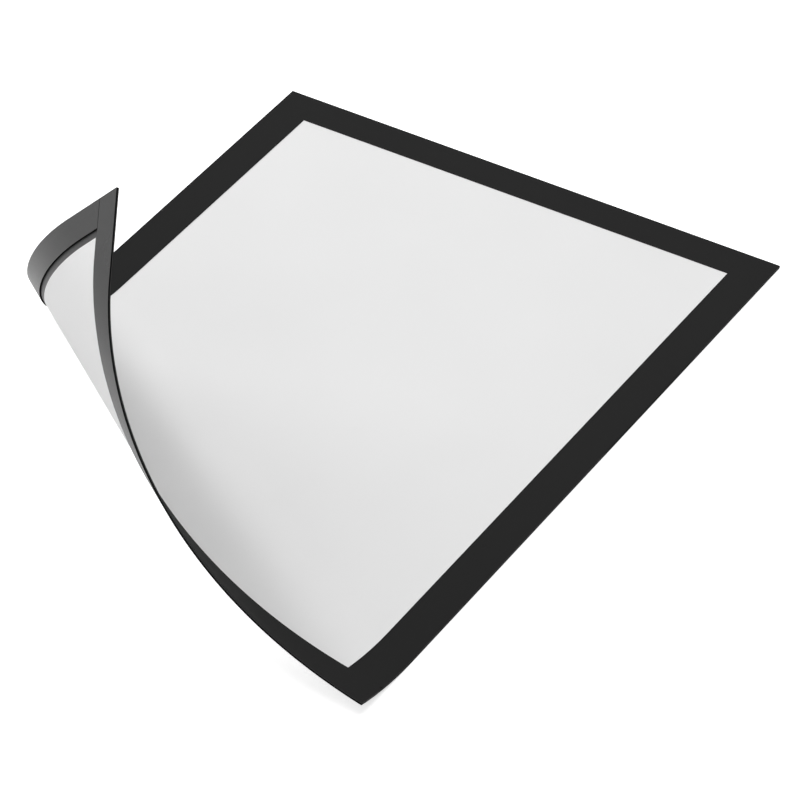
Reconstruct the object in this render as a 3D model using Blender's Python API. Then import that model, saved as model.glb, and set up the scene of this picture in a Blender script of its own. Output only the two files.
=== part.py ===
"""Magnetic sign frame for one sheet of A4, lying face up with its bottom left corner peeled and rolled back.

The frame is a flat laminate: a black border foil in front, a pale window film behind it over the whole
outline, and four strips of magnetic sheet on the back. Everything is modelled flat first. The rolled corner
is then a row of equal bends. Each bend has a hinge line on the front face, an empty on that line, and the
slices of foil, film and strip that lie between it and the next line. The slices are parented to the empty,
and each empty to the one before, so turning every empty back by BEND_ANGLE lays the corner flat again.

In the flat sheet X runs to the right, Y up the sheet and Z out of its front.
"""

import math

import bmesh
import bpy
from mathutils import Matrix, Vector

# Outline of the laminate
FRAME_WIDTH = 0.236
FRAME_HEIGHT = 0.323
BORDER_WIDTH = 0.01575
LEDGE_WIDTH = 0.00325              # border left free of magnet, beside the window

# Layers, front to back
FOIL_THICKNESS = 0.00015
FILM_THICKNESS = 0.00020
STRIP_THICKNESS = 0.0007
LAYER_GAP = 0.000025               # adhesive between two layers
BUTT_GAP = 0.0001                  # seam where a side strip meets the top or bottom strip

# Rolled corner. Its lengths are shares of the width, so a wider frame is peeled further
BEND_COUNT = 9
BEND_ANGLE = math.radians(13.4)
REACH = 0.65 * FRAME_WIDTH         # from the corner to where the roll begins
FIRST_PITCH = 0.055 * FRAME_WIDTH  # from one bend to the next, where the roll begins
PITCH_GROWTH = 0.018               # each pitch is longer than the one before by this share of the first
SPINE_ANGLE = math.radians(51.5)   # direction in which the corner was pulled, from the bottom edge
FAN_ANGLE = math.radians(-1.6)     # each hinge line turns by this against the one before
FACETS = 3                         # folds to a bend, an odd number, with the hinge on the middle one
CUT_GAP = 0.00004                  # clearance between two slices on their hinge line

STRIP_WIDTH = BORDER_WIDTH - LEDGE_WIDTH
FILM_BACK = STRIP_THICKNESS + LAYER_GAP
FOIL_BACK = FILM_BACK + FILM_THICKNESS + LAYER_GAP
FRONT = FOIL_BACK + FOIL_THICKNESS
LEFT, RIGHT = -FRAME_WIDTH / 2, FRAME_WIDTH / 2
BOTTOM, TOP = -FRAME_HEIGHT / 2, FRAME_HEIGHT / 2
FOLD_ANGLE = BEND_ANGLE / FACETS
MIDDLE = FACETS // 2
ON_LINE = 1e-6                     # a point nearer than this to a fold line lies on it


# Scene and materials

def clear_scene():
    for obj in list(bpy.data.objects):
        bpy.data.objects.remove(obj, do_unlink=True)


def material(name, colour, roughness):
    mat = bpy.data.materials.new(name)
    mat.use_nodes = True
    shader = mat.node_tree.nodes["Principled BSDF"]
    shader.inputs["Base Color"].default_value = (*colour, 1.0)
    shader.inputs["Roughness"].default_value = roughness
    shader.inputs["Metallic"].default_value = 0.0
    mat.diffuse_color = (*colour, 1.0)
    return mat


# Flat layers

def plate(x0, x1, y0, y1, z0, z1):
    bm = bmesh.new()
    centre = Matrix.Translation(((x0 + x1) / 2, (y0 + y1) / 2, (z0 + z1) / 2))
    size = Matrix.Diagonal((x1 - x0, y1 - y0, z1 - z0, 1.0))
    bmesh.ops.create_cube(bm, size=1.0, matrix=centre @ size)
    return bm


def open_window(bm, margin):
    """Insets the front and back faces by the margin, takes out their middles and walls the hole."""
    bm.normal_update()
    middles = [face for face in bm.faces if abs(face.normal.z) > 0.9]
    for face in middles:
        bmesh.ops.inset_region(bm, faces=[face], thickness=margin, use_even_offset=True)
    rims = [edge for face in middles for edge in face.edges]
    bmesh.ops.delete(bm, geom=middles, context="FACES_ONLY")
    bmesh.ops.bridge_loops(bm, edges=rims)
    return bm


# Fold lines

def along(x):
    """Distance along the spine after x bends, from where the roll begins."""
    return FIRST_PITCH * (x + PITCH_GROWTH * x * x / 2)


def fold_frame(x):
    """Frame of the fold line x bends into the roll, on the flat sheet. Its origin is on the front face,
    X runs along the line, Y on towards the corner and Z out of the front."""
    pull = Vector((-math.cos(SPINE_ANGLE), -math.sin(SPINE_ANGLE), 0))
    point = Vector((LEFT, BOTTOM, FRONT)) - pull * (REACH - along(x))
    turn = SPINE_ANGLE + FAN_ANGLE * (x - BEND_COUNT / 2)
    onward = Vector((-math.cos(turn), -math.sin(turn), 0))
    line = onward.cross(Vector((0, 0, 1)))
    frame = Matrix((line, onward, Vector((0, 0, 1)))).transposed().to_4x4()
    frame.translation = point
    return frame


def hinge_frame(bend):
    """Bends count from 1, and each hinge is the middle fold of its bend."""
    return fold_frame(bend - 0.5)


def folds_between(bend):
    """The folds inside one slice, from its own hinge to the next one. Slice 0 is the flat panel."""
    first = (bend - 1) * FACETS + MIDDLE + 1 if bend else 0
    last = min(bend * FACETS + MIDDLE, BEND_COUNT * FACETS)
    return [fold_frame((i + 0.5) / FACETS) for i in range(first, last)]


def folding(frame):
    """What a fold does to everything beyond it."""
    return frame @ Matrix.Rotation(FOLD_ANGLE, 4, "X") @ frame.inverted()


# Cutting and bending

def everything(bm):
    return bm.verts[:] + bm.edges[:] + bm.faces[:]


def trim(bm, frame, side):
    """Cuts along a hinge and keeps what lies on that side of it: 1 towards the corner, -1 away from it.
    The cut leans back, so that the slices clear each other when the corner lies flat."""
    lean = (BEND_ANGLE - FOLD_ANGLE) / 2
    normal = frame.to_3x3() @ Vector((0, side * math.cos(lean), math.sin(lean)))
    place = frame @ Vector((0, side * CUT_GAP / 2, 0))
    bmesh.ops.bisect_plane(bm, geom=everything(bm), dist=1e-8, plane_co=place, plane_no=normal,
                           clear_inner=True)
    bmesh.ops.holes_fill(bm, edges=[edge for edge in bm.edges if edge.is_boundary], sides=0)


def islands(bm):
    """The separate bodies of a mesh, each as a mesh of its own."""
    bm.verts.index_update()
    left, groups = set(bm.verts), []
    while left:
        stack, group = [left.pop()], set()
        while stack:
            vert = stack.pop()
            group.add(vert.index)
            for edge in vert.link_edges:
                other = edge.other_vert(vert)
                if other in left:
                    left.remove(other)
                    stack.append(other)
        groups.append(group)
    parts = []
    for group in groups:
        part = bm.copy()
        bmesh.ops.delete(part, geom=[v for v in part.verts if v.index not in group], context="VERTS")
        parts.append(part)
    return parts


def edges_touched(bm):
    """Which edges of the flat sheet a piece of it reaches, in words."""
    reach = {"top": max(v.co.y for v in bm.verts) > TOP - CUT_GAP,
             "bottom": min(v.co.y for v in bm.verts) < BOTTOM + CUT_GAP,
             "left": min(v.co.x for v in bm.verts) < LEFT + CUT_GAP,
             "right": max(v.co.x for v in bm.verts) > RIGHT - CUT_GAP}
    return "_".join(name for name, touches in reach.items() if touches)


def bend_slice(bm, folds):
    """Folds a flat slice on each line. What lies on a line moves to the mitre between its two facets."""
    for frame in folds:
        bmesh.ops.bisect_plane(bm, geom=everything(bm), dist=1e-8, plane_co=frame.translation,
                               plane_no=frame.to_3x3() @ Vector((0, 1, 0)))
    for vert in bm.verts:
        flat = vert.co.copy()
        before, after = Matrix(), Matrix()
        for frame in folds:
            past = (frame.inverted() @ flat).y
            if past < -ON_LINE:
                break
            after = before @ folding(frame)
            if past < ON_LINE:
                break
            before = after
        seat = before @ Vector((flat.x, flat.y, FRONT))
        if before != after:
            middle = (before @ flat + after @ flat) / 2
            vert.co = seat + (middle - seat) / math.cos(FOLD_ANGLE / 2) ** 2
        else:
            vert.co = before @ flat


# Building

def add_object(bm, name, mat, carrier, to_carrier, collection):
    bmesh.ops.transform(bm, matrix=to_carrier, verts=bm.verts)
    bmesh.ops.triangulate(bm, faces=bm.faces)
    bmesh.ops.recalc_face_normals(bm, faces=bm.faces)
    mesh = bpy.data.meshes.new(name)
    bm.to_mesh(mesh)
    mesh.materials.append(mat)
    obj = bpy.data.objects.new(name, mesh)
    obj.parent = carrier
    collection.objects.link(obj)
    return obj


def add_carriers(collection):
    """An empty for the flat panel, and one on each hinge line, turned by its bend and parented to the one
    before. Returns each with the frame that its slices have on the flat sheet."""
    carriers = [(bpy.data.objects.new("panel", None), Matrix())]
    for bend in range(1, BEND_COUNT + 1):
        before, flat_before = carriers[-1]
        folded = Matrix()
        for frame in folds_between(bend - 1):
            folded = folded @ folding(frame)
        hinge = hinge_frame(bend)
        empty = bpy.data.objects.new(f"bend_{bend}", None)
        empty.empty_display_size = FIRST_PITCH
        empty.parent = before
        empty.matrix_local = flat_before.inverted() @ folded @ folding(hinge) @ hinge
        carriers.append((empty, hinge))
    for empty, _ in carriers:
        collection.objects.link(empty)
    return carriers


def build():
    clear_scene()
    sheet = bpy.data.collections.new("Magnetic sign frame")
    bpy.context.scene.collection.children.link(sheet)

    black_foil = material("Black border foil", (0.024, 0.024, 0.025), 0.45)
    pale_film = material("Pale window film", (0.78, 0.79, 0.80), 0.35)
    magnet = material("Black magnetic sheet", (0.035, 0.035, 0.037), 0.40)

    side_low, side_high = BOTTOM + STRIP_WIDTH + BUTT_GAP, TOP - STRIP_WIDTH - BUTT_GAP
    layers = {
        "border_foil": (black_foil, open_window(
            plate(LEFT, RIGHT, BOTTOM, TOP, FOIL_BACK, FRONT), BORDER_WIDTH)),
        "window_film": (pale_film, plate(
            LEFT, RIGHT, BOTTOM, TOP, FILM_BACK, FILM_BACK + FILM_THICKNESS)),
        "magnet_strip_top": (magnet, plate(LEFT, RIGHT, TOP - STRIP_WIDTH, TOP, 0, STRIP_THICKNESS)),
        "magnet_strip_bottom": (magnet, plate(
            LEFT, RIGHT, BOTTOM, BOTTOM + STRIP_WIDTH, 0, STRIP_THICKNESS)),
        "magnet_strip_left": (magnet, plate(
            LEFT, LEFT + STRIP_WIDTH, side_low, side_high, 0, STRIP_THICKNESS)),
        "magnet_strip_right": (magnet, plate(
            RIGHT - STRIP_WIDTH, RIGHT, side_low, side_high, 0, STRIP_THICKNESS)),
    }

    carriers = add_carriers(sheet)
    made = []
    for name, (mat, flat) in layers.items():
        for bend, (carrier, flat_frame) in enumerate(carriers):
            piece = flat.copy()
            if bend:
                trim(piece, hinge_frame(bend), 1)
            if bend < BEND_COUNT:
                trim(piece, hinge_frame(bend + 1), -1)
            for part in islands(piece):
                words = [name, carrier.name]
                if bend and name == "border_foil":
                    words.insert(1, edges_touched(part))
                bend_slice(part, folds_between(bend))
                made.append(add_object(part, "_".join(words), mat, carrier, flat_frame.inverted(), sheet))

    # The origin goes to the middle of the footprint, on the surface that the strips lie on
    bpy.context.view_layer.update()
    corners = [obj.matrix_world @ vert.co for obj in made for vert in obj.data.vertices]
    low = [min(corner[i] for corner in corners) for i in range(3)]
    high = [max(corner[i] for corner in corners) for i in range(3)]
    carriers[0][0].location = (-(low[0] + high[0]) / 2, -(low[1] + high[1]) / 2, -low[2])
    bpy.context.view_layer.update()


build()
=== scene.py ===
# %% [markdown]
# # A magnetic sign frame with one corner peeled back
#
# The real thing is a flat laminate for a whiteboard or a steel door: a black vinyl border in front, a pale
# film behind it that covers the sheet of paper, and four strips of magnetic sheet on the back. Someone has
# pulled the bottom left corner off, and it has rolled over by itself.
#
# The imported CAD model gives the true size, the bodies and the joints. Its rolled corner is made of flat
# facets. Here the same sheet is drawn again as one smooth surface, and every piece follows the CAD bodies.

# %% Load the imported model
import math

import bmesh
import bpy
import numpy as np
from mathutils import Matrix, Vector


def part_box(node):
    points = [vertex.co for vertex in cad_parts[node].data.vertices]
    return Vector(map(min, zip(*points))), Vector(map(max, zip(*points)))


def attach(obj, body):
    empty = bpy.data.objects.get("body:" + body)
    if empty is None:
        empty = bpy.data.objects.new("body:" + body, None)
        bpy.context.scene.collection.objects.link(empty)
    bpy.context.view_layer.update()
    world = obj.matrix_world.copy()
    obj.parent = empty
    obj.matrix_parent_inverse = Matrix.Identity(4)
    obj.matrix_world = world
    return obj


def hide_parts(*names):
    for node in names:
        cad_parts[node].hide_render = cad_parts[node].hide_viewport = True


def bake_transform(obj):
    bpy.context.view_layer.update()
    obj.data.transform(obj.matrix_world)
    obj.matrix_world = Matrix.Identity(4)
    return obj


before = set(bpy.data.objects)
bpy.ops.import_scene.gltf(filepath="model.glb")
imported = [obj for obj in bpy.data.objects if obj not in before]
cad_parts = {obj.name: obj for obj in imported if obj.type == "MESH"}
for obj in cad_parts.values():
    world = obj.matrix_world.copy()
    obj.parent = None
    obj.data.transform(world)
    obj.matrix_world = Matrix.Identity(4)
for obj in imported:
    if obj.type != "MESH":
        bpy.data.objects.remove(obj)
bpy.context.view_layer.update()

# %% [markdown]
# ## The camera
#
# The photograph was taken from a distance with a long lens, so parallel edges stay nearly parallel. Its place
# was found by fitting the four straight edges of the frame. It is set first, because it doesn't depend on
# anything else, and every later step can then be looked at from there.

# %% Camera
CAMERA_PLACE = (0.858413, -1.343801, 1.250202)
CAMERA_RIGHT = Vector((0.851304, 0.524662, 0.003359))
CAMERA_UP = Vector((-0.327516, 0.526397, 0.784627))
FOCAL_PIXELS = 5108.4              # distance of the picture plane, in pixels of an 800 pixel wide picture
PICTURE_PIXELS = 800
SENSOR = 36.0

lens = bpy.data.cameras.new("photo_camera")
lens.sensor_width = SENSOR
lens.lens = FOCAL_PIXELS * SENSOR / PICTURE_PIXELS
lens.clip_end = 20
camera = bpy.data.objects.new("photo_camera", lens)
bpy.context.scene.collection.objects.link(camera)
axes = Matrix((CAMERA_RIGHT, CAMERA_UP, CAMERA_RIGHT.cross(CAMERA_UP))).transposed()
camera.matrix_world = Matrix.Translation(CAMERA_PLACE) @ axes.to_4x4()
bpy.context.scene.camera = camera
print("lens:", round(lens.lens, 1), "mm")

# %% [markdown]
# ## The flat sheet
#
# Everything is laid out flat first, with X to the right, Y up the sheet and Z out of its front, in metres. The
# three layers lie on each other with a hair of adhesive between them. The CAD model's top strip tells where
# the flat sheet lies in its frame.

# %% Sizes of the flat sheet
WIDTH, HEIGHT = 0.236, 0.323
BORDER = 0.01575
STRIP = 0.0125
BUTT_GAP = 0.0003                  # seam where a side strip meets the bottom one, with its crushed edges
STRIP_BACK, STRIP_FRONT = 0.0, 0.0007
FILM_BACK, FILM_FRONT = 0.000725, 0.000925
FOIL_BACK, FOIL_FRONT = 0.00095, 0.0011
LEFT, RIGHT, BOTTOM, TOP = -WIDTH / 2, WIDTH / 2, -HEIGHT / 2, HEIGHT / 2

low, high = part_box("magnet_strip_top_panel")
SHEET_PLACE = np.array([(low.x + high.x) / 2, high.y - TOP, low.z])
print("the flat sheet's middle is at", SHEET_PLACE.round(6))

# %% [markdown]
# ## How the corner rolls
#
# A sheet that bends without stretching is straight along one line through each of its points. These lines are
# its rulings. The corner is drawn as a fan of such lines across the flat sheet, numbered by x: the roll begins
# at x = 0 and ends at x = 9, and the CAD hinges are the lines at 0.5, 1.5 and so on. Rolling the sheet is then
# a long row of small turns, one about each line, and each turn carries along all that lies beyond it.

# %% Lines across the flat sheet
BENDS = 9
BEND_ANGLE = math.radians(13.4)
REACH = 0.65 * WIDTH
FIRST_PITCH = 0.055 * WIDTH
PITCH_GROWTH = 0.018
SPINE_ANGLE = math.radians(51.5)
FAN_ANGLE = math.radians(-1.6)
SPINE = np.array([-math.cos(SPINE_ANGLE), -math.sin(SPINE_ANGLE)])
CORNER = np.array([LEFT, BOTTOM])
START, END = -26, 13               # a line before the whole sheet, and one beyond its corner


def along(x):
    """Distance along the spine, from where the roll begins: the first pitch times x, and a little more for
    each pitch after it."""
    return FIRST_PITCH * (x + PITCH_GROWTH * x * x / 2)


def lines(x):
    """For each x: where the line crosses the spine, its direction, and the way onward to the corner. Lines
    turn by the fan angle for each bend, and are parallel before and after the roll."""
    x = np.atleast_1d(np.asarray(x, float))
    turn = SPINE_ANGLE + FAN_ANGLE * (np.clip(x, 0, BENDS) - BENDS / 2)
    start = CORNER - SPINE * (REACH - along(x))[:, None]
    direction = np.stack([-np.sin(turn), np.cos(turn)], 1)
    onward = np.stack([-np.cos(turn), -np.sin(turn)], 1)
    return start, direction, onward


X_TABLE = np.linspace(START, END, 40001)
TABLE_START, _, TABLE_ONWARD = lines(X_TABLE)


def line_through(place):
    """The x of the line through a flat point: where its distance from the line changes sign."""
    distance = ((np.asarray(place) - TABLE_START) * TABLE_ONWARD).sum(1)
    return float(np.interp(0, -distance, X_TABLE))


print("lines through the bottom corners:", round(line_through(CORNER), 3),
      round(line_through((RIGHT, BOTTOM)), 3))

# %% Turning the sheet about each line
FINE = 24                          # small turns to one bend


def turn_about(start, direction, onward, angle):
    """The 4x4 matrix of a turn about a line on the sheet's front face: onward leans towards the front by the
    angle, the front leans back by the same, and points of the line stay."""
    frame_of_line = np.eye(4)
    frame_of_line[:2, 0], frame_of_line[:2, 1] = direction, onward
    frame_of_line[:3, 3] = *start, FOIL_FRONT
    c, s = math.cos(angle), math.sin(angle)
    turned = np.array([[1, 0, 0, 0], [0, c, -s, 0], [0, s, c, 0], [0, 0, 0, 1]])
    return frame_of_line @ turned @ np.linalg.inv(frame_of_line)


def roll_table():
    """One matrix after each small turn. Each is the one before, times the new turn."""
    table = [np.eye(4)]
    for start, direction, onward in zip(*lines((np.arange(BENDS * FINE) + 0.5) / FINE)):
        table.append(table[-1] @ turn_about(start, direction, onward, BEND_ANGLE / FINE))
    return np.array(table)


ROLL = roll_table()


def rolled(x):
    """The matrix of each line at x, interpolated between the two nearest in the table."""
    place = np.clip(np.asarray(x, float), 0, BENDS) * FINE
    first = np.minimum(place.astype(int), BENDS * FINE - 1)
    share = (place - first)[:, None, None]
    return ROLL[first] * (1 - share) + ROLL[first + 1] * share


def onto_sheet(flat, x):
    """Carries flat points (n, 3) of the lines at x (n) to their place in the rolled sheet."""
    moved = np.einsum("nij,nj->ni", rolled(x)[:, :3, :3], flat) + rolled(x)[:, :3, 3]
    return moved + SHEET_PLACE


# %% [markdown]
# ## One function for every layer
#
# On the real frame all three layers are flat strips and sheets with straight sides. On any line across the
# sheet, such a layer covers one stretch. So a layer is a ribbon: rows of points along the lines, from one end
# of the stretch to the other, on its front and on its back. The rows are closed into a slab with four walls.
#
# Each vertex also keeps its flat place, in an attribute called flat. Grain and colour follow that place, so
# they bend with the sheet and run on from slice to slice. The shading normals are worked out with the same
# formula, and so no seam shows where two slices meet.

# %% Stretches and rows
ROWS = 12                          # rows of faces to one bend
SAME_LINE = 1e-6                   # lines closer together than this count as one


def stretch(x, x_low, x_high, y_low, y_high):
    """The two ends of the part of each line that lies in a rectangle: each side of the rectangle cuts the
    line at one distance, and the stretch runs from the last entry to the first exit."""
    start, direction, _ = lines(x)
    lower, upper = np.array([x_low, y_low]), np.array([x_high, y_high])
    cuts = np.sort(np.stack([(lower - start) / direction, (upper - start) / direction]), axis=0)
    near, far = cuts[0].max(1), cuts[1].min(1)
    far = np.maximum(near, far)
    return start + direction * near[:, None], start + direction * far[:, None]


def rows_of(x_from, x_to, rectangle):
    """The x of every row: evenly spaced in the roll, and one at each corner of the rectangle."""
    x_low, x_high, y_low, y_high = rectangle
    corners = [line_through((x, y)) for x in (x_low, x_high) for y in (y_low, y_high)]
    first, last = max(x_from, min(corners)), min(x_to, max(corners))
    if last - first < SAME_LINE:
        return np.array([])
    even = np.arange(math.ceil(max(first, 0) * ROWS), math.floor(min(last, BENDS) * ROWS) + 1) / ROWS
    rows = np.unique(np.concatenate([[first, last], even, corners]).round(9))
    rows = rows[(rows >= first - 1e-9) & (rows <= last + 1e-9)]
    return rows[np.concatenate([[True], np.diff(rows) > SAME_LINE])]


print("rows across the whole sheet:", len(rows_of(START, END, (LEFT, RIGHT, BOTTOM, TOP))))


# %% Ribbons
NO_LENGTH = 1e-12                  # keeps a division by a length of zero out


def side_normal(near, far):
    """For each gap between two rows, the flat direction that points out of the sheet on either side."""
    def outward(edge, inside):
        step = np.diff(edge, axis=0)
        normal = np.stack([step[:, 1], -step[:, 0]], 1)
        normal /= np.maximum(np.linalg.norm(normal, axis=1, keepdims=True), NO_LENGTH)
        wrong = (normal * np.diff(np.stack([edge, inside]), axis=0)[0][:-1]).sum(1) > 0
        return np.where(wrong[:, None], -normal, normal)
    return outward(near, far), outward(far, near)


def ribbon(name, x, near, far, back, front, across=1):
    """A slab over rows of flat points. The section of each row is a loop: across steps from near to far on
    the front, and as many back again on the back. Quads join the loops, and each end gets a cap."""
    rows, columns = len(x), across + 1
    share = np.linspace(0, 1, columns)
    line_points = near[:, None] + (far - near)[:, None] * share[:, None]
    loop = np.concatenate([line_points, line_points[:, ::-1]], 1)
    depth = np.concatenate([np.full(columns, front), np.full(columns, back)])
    flat = np.concatenate([loop, np.broadcast_to(depth[:, None], (rows, 2 * columns, 1))], 2).reshape(-1, 3)
    roll = np.repeat(x, 2 * columns)

    index = np.arange(rows * 2 * columns).reshape(rows, 2 * columns)
    a, b = index[:-1], index[1:]
    quads = np.stack([a, np.roll(a, -1, 1), np.roll(b, -1, 1), b], 2)
    near_side, far_side = side_normal(near, far)
    normals = np.zeros((rows - 1, 2 * columns, 3))
    normals[:, :across, 2], normals[:, columns:-1, 2] = 1, -1
    normals[:, across, :2], normals[:, -1, :2] = far_side, near_side
    faces, face_normals = [quads.reshape(-1, 4)], [normals.reshape(-1, 3)]
    for row, next_row in ((0, 1), (rows - 1, rows - 2)):
        ring = index[row]
        cap = np.stack([ring[:across], ring[1:columns], ring[::-1][1:columns], ring[::-1][:across]], 1)
        faces.append(cap)
        end = far[row] - near[row]
        end = np.array([-end[1], end[0], 0]) / max(np.linalg.norm(end), NO_LENGTH)
        away = (near[row] + far[row] - near[next_row] - far[next_row]) @ end[:2]
        face_normals.append(np.tile(end if away > 0 else -end, (across, 1)))
    faces, face_normals = np.concatenate(faces), np.concatenate(face_normals)
    return place_mesh(name, flat, roll, faces, face_normals)


# %% Meshes
WELD = 1e-7                        # points closer than this are one


def face_sides(mesh):
    """The flat direction that each face looks in."""
    side = np.zeros(len(mesh.polygons) * 3, np.float32)
    mesh.attributes["side"].data.foreach_get("vector", side)
    return side.reshape(-1, 3)


def place_mesh(name, flat, roll, faces, face_normals):
    """Rolls the flat points, puts them into a mesh, turns every face outwards, welds points that meet, and
    shades it with the normals of the formula."""
    points = onto_sheet(flat, roll)
    turned = np.einsum("nij,nkj->nki", rolled(roll)[:, :3, :3][faces[:, 0]], face_normals[:, None])[:, 0]
    corners = points[faces]
    winding = np.cross(corners[:, 2] - corners[:, 0], corners[:, 3] - corners[:, 1])
    inward = (winding * turned).sum(1) < 0
    faces = np.where(inward[:, None], faces[:, ::-1], faces)

    mesh = bpy.data.meshes.new(name)
    mesh.from_pydata(points.tolist(), [], faces.tolist())
    mesh.attributes.new("flat", "FLOAT_VECTOR", "POINT").data.foreach_set("vector", flat.ravel())
    mesh.attributes.new("roll", "FLOAT", "POINT").data.foreach_set("value", roll)
    mesh.attributes.new("side", "FLOAT_VECTOR", "FACE").data.foreach_set("vector", face_normals.ravel())
    bm = bmesh.new()
    bm.from_mesh(mesh)
    bmesh.ops.remove_doubles(bm, verts=bm.verts, dist=WELD)
    bm.to_mesh(mesh)
    bm.free()

    loops = len(mesh.loops)
    vertex, sizes = np.zeros(loops, np.int32), np.zeros(len(mesh.polygons), np.int32)
    mesh.loops.foreach_get("vertex_index", vertex)
    mesh.polygons.foreach_get("loop_total", sizes)
    roll_kept = np.zeros(len(mesh.vertices), np.float32)
    mesh.attributes["roll"].data.foreach_get("value", roll_kept)
    side = np.repeat(face_sides(mesh), sizes, 0)
    shading = np.einsum("nij,nj->ni", rolled(roll_kept)[:, :3, :3][vertex], side)
    mesh.polygons.foreach_set("use_smooth", np.ones(len(mesh.polygons), bool))
    mesh.normals_split_custom_set(shading.tolist())
    piece = bpy.data.objects.new(name, mesh)
    bpy.context.scene.collection.objects.link(piece)
    return piece


def layer(name, x_from, x_to, rectangle, back, front, across=1):
    """The part of a rectangular layer between two lines, or None where it has no part there."""
    x = rows_of(x_from, x_to, rectangle)
    if not len(x):
        return None
    near, far = stretch(x, *rectangle)
    return ribbon(name, x, near, far, back, front, across)


# %% [markdown]
# ## Following the CAD bodies
#
# The CAD corner is nine stiff slices on nine hinges. A smooth sheet has no slices, so each piece here runs
# from the middle of one CAD slice to the middle of the next, across the hinge between them.

# %% Riding and placing
BODIES = ["panel"] + [f"bend_{k}" for k in range(1, BENDS + 1)]
SHEET = (LEFT, RIGHT, BOTTOM, TOP)
made = []


def carry(piece, k, material, layers):
    """Piece k = 0 rides on the flat panel. Every other is baked in its rolled place. Each replaces the CAD
    nodes of its own layers on body k."""
    piece.data.materials.append(material)
    if material is MAGNETIC_SHEET:
        finish_and_shade_walls(piece.data)
    if k:
        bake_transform(piece)
    else:
        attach(piece, "panel")
    nodes = [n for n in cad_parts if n.startswith(layers) and n.endswith("_" + BODIES[k])]
    if nodes:
        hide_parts(*nodes)
    made.append(piece)


# %% [markdown]
# ## Materials
#
# All three are plastics with a fine, even grain, and none has a pattern. What tells them apart is how they
# answer the light: the vinyl border is nearly flat black, the film is pale with a soft gloss, and the magnetic
# sheet is smoother, so that it turns grey where it is seen at a low angle. Each pattern reads the attribute
# flat, in metres. Some light shines through the film where it is rolled up, and a lighter tone on its back is
# painted light that stands in for that. The magnetic sheet is a powder bound in rubber, and a knife leaves its
# edge rougher than its rolled faces. So the walls of the strips have a finish of their own, in a second slot;
# its darker tone is painted shade.

# %% Material helpers
def new_material(name):
    material = bpy.data.materials.new(name)
    material.use_nodes = True
    tree = material.node_tree
    return material, tree, tree.nodes["Principled BSDF"]


def add_node(tree, kind, values=None, **settings):
    """A new node. A value that is a socket is linked to the input, any other is set there."""
    node = tree.nodes.new(kind)
    for key, value in settings.items():
        setattr(node, key, value)
    for key, value in (values or {}).items():
        if isinstance(value, bpy.types.NodeSocket):
            tree.links.new(value, node.inputs[key])
        else:
            node.inputs[key].default_value = value
    return node


def arithmetic(tree, operation, *values):
    return add_node(tree, "ShaderNodeMath", dict(enumerate(values)), operation=operation).outputs[0]


def ramp(tree, value, start, end, low=0, high=1):
    """Rises evenly from low to high while the value goes from start to end, and is level outside them."""
    return add_node(tree, "ShaderNodeMapRange", {"Value": value, "From Min": start, "From Max": end,
                                                 "To Min": low, "To Max": high}).outputs["Result"]


def mixed(tree, share, first, second):
    """From the first grey to the second, each given as a level or as a colour socket."""
    first, second = ((c, c, c, 1) if isinstance(c, float) else c for c in (first, second))
    return add_node(tree, "ShaderNodeMix", {0: share, 6: first, 7: second}, data_type="RGBA").outputs[2]


def flat_place(tree):
    return add_node(tree, "ShaderNodeAttribute", attribute_name="flat").outputs["Vector"]


def noise(tree, scale, detail):
    """Noise over the flat sheet, with features about 1 / scale metres wide."""
    return add_node(tree, "ShaderNodeTexNoise", {"Vector": flat_place(tree), "Scale": scale,
                                                 "Detail": detail}).outputs["Fac"]


# %% Plain plastics
NOISE_LOW, NOISE_HIGH = 0.3, 0.7   # most of a noise lies between these


def plastic(name, clouds, roughness, specular, tones=None, grain=None):
    """Clouds are soft patches, given as the scale and detail of a noise, that vary the tone and the roughness a
    little. Grain is a fine bump, given as scale, detail and height in metres."""
    material, tree, shader = new_material(name)
    cloud = noise(tree, *clouds)
    if tones:
        share = ramp(tree, cloud, NOISE_LOW, NOISE_HIGH)
        tree.links.new(mixed(tree, share, *tones), shader.inputs["Base Color"])
    tree.links.new(ramp(tree, cloud, NOISE_LOW, NOISE_HIGH, *roughness), shader.inputs["Roughness"])
    shader.inputs["Specular IOR Level"].default_value = specular
    if grain:
        scale, detail, height = grain
        bump = add_node(tree, "ShaderNodeBump", {"Height": noise(tree, scale, detail), "Distance": height,
                                                 "Strength": 1.0})
        tree.links.new(bump.outputs["Normal"], shader.inputs["Normal"])
    return material


BLACK_VINYL = plastic("black_vinyl", clouds=(28, 3), roughness=(0.56, 0.66), specular=0.015,
                      tones=(0.0195, 0.022), grain=(5200, 2, 0.000006))
MAGNETIC_SHEET = plastic("magnetic_sheet", clouds=(35, 3), roughness=(0.22, 0.28), specular=0.34,
                         tones=(0.016, 0.019), grain=(4200, 3, 0.000004))
# The walls' darker tone is painted shade; only their higher roughness is the cut edge's own.
SHADED_CUT_EDGE = plastic("shaded_cut_edge", clouds=(900, 3), roughness=(0.8, 0.95), specular=0.05, tones=(0.005, 0.009))


def finish_and_shade_walls(mesh):
    """Gives the second slot, a rougher finish whose darker tone is painted shade, to the faces whose flat side
    points neither to the front nor to the back.
    """
    mesh.materials.append(SHADED_CUT_EDGE)
    mesh.polygons.foreach_set("material_index", (np.abs(face_sides(mesh)[:, 2]) < 0.5).astype(np.int32))


# %% Pale film
OVERLAP = 0.0012                   # the dark zone on the film's back is this much narrower at top and bottom
FADE = 0.0001                      # width over which that zone ends
# The paler back tone is painted light, for the light that shines through the rolled film.
DARK_TONE, BACK_TONE_WITH_PAINTED_LIGHT, FRONT_TONE = 0.018, 0.95, 0.79


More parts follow.
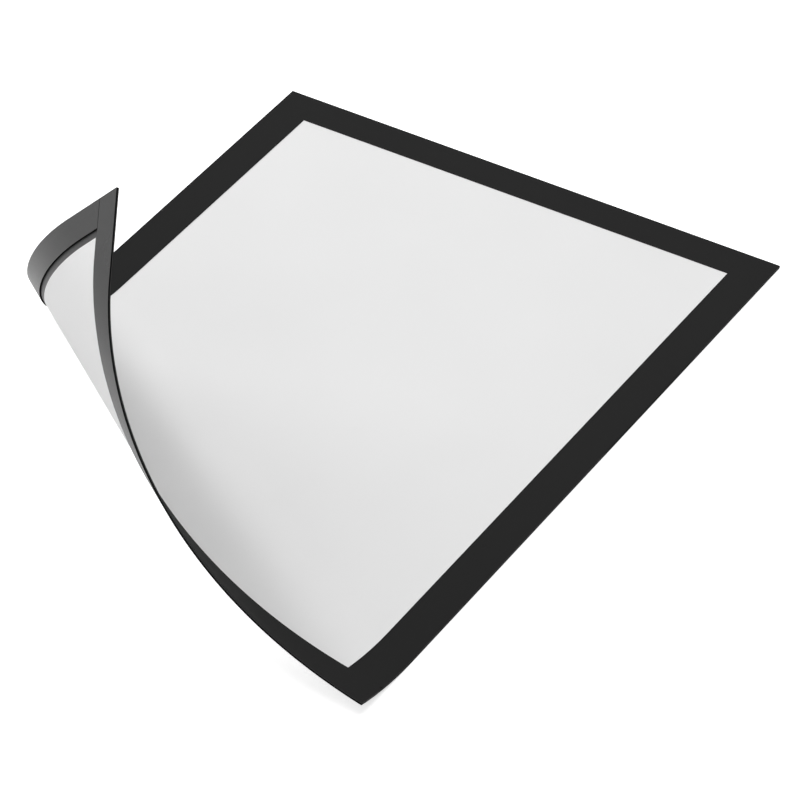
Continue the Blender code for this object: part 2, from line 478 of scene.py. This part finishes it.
def film_tone(tree):
    """Black behind the border. In the window it is pale, and on its back a little paler than in front. The
    paler back is painted light, for the light that shines through the film where it is rolled up.
    """
    x, y, z = add_node(tree, "ShaderNodeSeparateXYZ", {"Vector": flat_place(tree)}).outputs
    from_sides = arithmetic(tree, "SUBTRACT", WIDTH / 2, arithmetic(tree, "ABSOLUTE", x))
    from_ends = arithmetic(tree, "SUBTRACT", HEIGHT / 2 + OVERLAP, arithmetic(tree, "ABSOLUTE", y))
    in_window = ramp(tree, arithmetic(tree, "MINIMUM", from_sides, from_ends), BORDER - FADE, BORDER)
    pale = mixed(tree, ramp(tree, z, FILM_BACK, FILM_FRONT), BACK_TONE_WITH_PAINTED_LIGHT, FRONT_TONE)
    return mixed(tree, in_window, DARK_TONE, pale)


PALE_FILM = plastic("pale_film", clouds=(22, 3), roughness=(0.36, 0.42), specular=0.5,
                    grain=(3600, 2, 0.000003))
tree = PALE_FILM.node_tree
tree.links.new(film_tone(tree), tree.nodes["Principled BSDF"].inputs["Base Color"])

print("materials:", [m.name for m in (BLACK_VINYL, PALE_FILM, MAGNETIC_SHEET, SHADED_CUT_EDGE)])

# %% [markdown]
# ## The film
#
# One sheet over the whole outline. It is the widest layer, so its lines get the most points across: in a pose
# each line bends a little, and the border must bend with it.

# %% Film
SPANS = {0: (START, 0), **{k: (k - 1, k) for k in range(1, BENDS)}, BENDS: (BENDS - 1, END)}

for k, (x_from, x_to) in SPANS.items():
    film = layer(f"pale_film_{k}", x_from, x_to, SHEET, FILM_BACK, FILM_FRONT, across=16)
    carry(film, k, PALE_FILM, ("window_film",))
print("film:", len(made), "pieces")

# %% [markdown]
# ## The border
#
# The black border is one die-cut ring. Its flat part is a strip that turns at the two far corners, so it is
# drawn as rows from the outer edge to the window, mitred at the corners. In the roll each slice crosses the
# ring twice, so there it has two arms, each a closed piece of its own. In the last slice the left arm runs to
# the corner and the bottom arm butts against it.

# %% Border
WINDOW = (LEFT + BORDER, RIGHT - BORDER, BOTTOM + BORDER, TOP - BORDER)
LEFT_ARM = (LEFT, WINDOW[0], BOTTOM, TOP)
BOTTOM_ARM = (WINDOW[0], RIGHT, BOTTOM, WINDOW[2])
RIGHT_ARM = (WINDOW[1], RIGHT, WINDOW[2], TOP)


def flat_ring():
    """Four rows: where the roll begins on the left arm, the two far corners, and the same on the right arm."""
    left_near, left_far = stretch([0], *LEFT_ARM)
    right_near, right_far = stretch([0], *RIGHT_ARM)
    outer = np.concatenate([left_far, [[LEFT, TOP], [RIGHT, TOP]], right_near])
    inner = np.concatenate([left_near, [[WINDOW[0], WINDOW[3]], [WINDOW[1], WINDOW[3]]], right_far])
    return outer, inner


outer, inner = flat_ring()
ring = ribbon("black_border_0", np.zeros(4), outer, inner, FOIL_BACK, FOIL_FRONT)
carry(ring, 0, BLACK_VINYL, ("border_foil",))

for k, (x_from, x_to) in SPANS.items():
    if k:
        arms = [layer(f"black_border_{k}", x_from, x_to, arm, FOIL_BACK, FOIL_FRONT, across=2)
                for arm in (LEFT_ARM, BOTTOM_ARM, RIGHT_ARM)]
        arms = [arm for arm in arms if arm]
        for arm, word in zip(arms, "abc"):
            arm.name = f"black_border_{k}{word}"
            carry(arm, k, BLACK_VINYL, ("border_foil",) if arm is arms[0] else ("none",))
print("border:", sum(piece.name.startswith("black_border") for piece in made), "pieces")

# %% [markdown]
# ## The magnetic strips
#
# The top and bottom strips are as wide as the frame. The side strips are cut to fit between them, and the butt
# seams between them show on the back.

# %% Strips
INNER_BOTTOM, INNER_TOP = BOTTOM + STRIP + BUTT_GAP, TOP - STRIP - BUTT_GAP
STRIPS = {"top": (LEFT, RIGHT, TOP - STRIP, TOP),
          "bottom": (LEFT, RIGHT, BOTTOM, BOTTOM + STRIP),
          "left": (LEFT, LEFT + STRIP, INNER_BOTTOM, INNER_TOP),
          "right": (RIGHT - STRIP, RIGHT, INNER_BOTTOM, INNER_TOP)}

for side, rectangle in STRIPS.items():
    for k, (x_from, x_to) in SPANS.items():
        strip = layer(f"{side}_strip_{k}", x_from, x_to, rectangle, STRIP_BACK, STRIP_FRONT, across=2)
        if strip:
            carry(strip, k, MAGNETIC_SHEET, (f"magnet_strip_{side}",))

print(len(made), "pieces,", sum(len(piece.data.polygons) for piece in made), "faces")

# %% [markdown]
# ## Floor and light
#
# The photograph has a plain white background and almost no shadow. A pale floor catches the little that there
# is. Four large soft panels stand around the object, one of them straight above. Their strengths were balanced
# against the photograph: the window, the rolled part's front and its back each tell how much light comes from
# one side. Black plastic shows what it mirrors, so these panels are hidden from mirror rays.
#
# A fifth panel, low behind the frame, is there for mirror rays alone. The flat film shows its soft gloss all
# over. Where the roll begins, the film tilts away from it, and that is the dark band beside the curve.

# %% Floor
FLOOR_HALF = 1.6                   # beyond its edge the white surround goes on
FLOOR_DROP = 0.0002                # it lies this far below the strips
CAMERA_GLOW, MIRROR_GLOW = 0.7, 0.1   # what the camera and mirror rays see on top of the floor's own light

floor_mesh = bpy.data.meshes.new("floor")
floor_mesh.from_pydata([(x * FLOOR_HALF, y * FLOOR_HALF, -FLOOR_DROP)
                        for x, y in ((-1, -1), (1, -1), (1, 1), (-1, 1))], [], [(0, 1, 2, 3)])
floor = bpy.data.objects.new("floor", floor_mesh)
bpy.context.scene.collection.objects.link(floor)
material, tree, shader = new_material("pale_floor")
shader.inputs["Base Color"].default_value = (0.9, 0.9, 0.9, 1)
shader.inputs["Roughness"].default_value = 1.0
shader.inputs["Specular IOR Level"].default_value = 0.0
shader.inputs["Emission Color"].default_value = (1, 1, 1, 1)
ray = add_node(tree, "ShaderNodeLightPath").outputs
mirrored = arithmetic(tree, "MAXIMUM", ray["Is Glossy Ray"], ray["Is Transmission Ray"])
mirrored = arithmetic(tree, "MULTIPLY", mirrored, MIRROR_GLOW)
glow = arithmetic(tree, "MULTIPLY_ADD", ray["Is Camera Ray"], CAMERA_GLOW, mirrored)
tree.links.new(glow, shader.inputs["Emission Strength"])
floor.data.materials.append(material)
print("floor:", 2 * FLOOR_HALF, "m wide")

# %% Surround
SURROUND_LIGHT = 0.02              # the little light that the surround gives, while it looks white

world = bpy.data.worlds.new("surround")
bpy.context.scene.world = world
world.use_nodes = True
tree = world.node_tree
background = tree.nodes["Background"]
ray = add_node(tree, "ShaderNodeLightPath").outputs
seen = arithmetic(tree, "MAXIMUM", ray["Is Camera Ray"], ray["Is Glossy Ray"])
seen = arithmetic(tree, "MAXIMUM", seen, ray["Is Transmission Ray"])
background.inputs["Color"].default_value = (1, 1, 1, 1)
tree.links.new(ramp(tree, seen, 0, 1, SURROUND_LIGHT, 1), background.inputs["Strength"])

# %% Lamps
LAMP_DISTANCE = 2.4


def soft_panel(name, azimuth, elevation, size, watts, for_mirrors=False):
    """A square panel that faces the object. It lights the object, or only mirror rays see it."""
    lamp = bpy.data.lights.new(name, "AREA")
    lamp.shape = "SQUARE"
    lamp.size = size
    lamp.energy = watts
    panel = bpy.data.objects.new(name, lamp)
    a, e = math.radians(azimuth), math.radians(elevation)
    way = Vector((math.sin(a) * math.cos(e), -math.cos(a) * math.cos(e), math.sin(e)))
    panel.location = way * LAMP_DISTANCE
    panel.rotation_euler = (-panel.location).to_track_quat("-Z", "Y").to_euler()
    panel.visible_camera = False
    panel.visible_glossy = for_mirrors
    panel.visible_diffuse = not for_mirrors
    bpy.context.scene.collection.objects.link(panel)


soft_panel("top_panel", 0, 90, size=2.0, watts=22.3)
soft_panel("front_panel", 0, 35, size=2.0, watts=10.9)
soft_panel("left_panel", 270, 35, size=2.0, watts=26.0)
soft_panel("back_panel", 180, 65, size=2.0, watts=15.5)
soft_panel("mirrored_panel", 206, 33.5, size=1.7, watts=19.3, for_mirrors=True)
print("lamps:", [lamp.name for lamp in bpy.data.lights])

bpy.context.scene.view_settings.view_transform = "Standard"
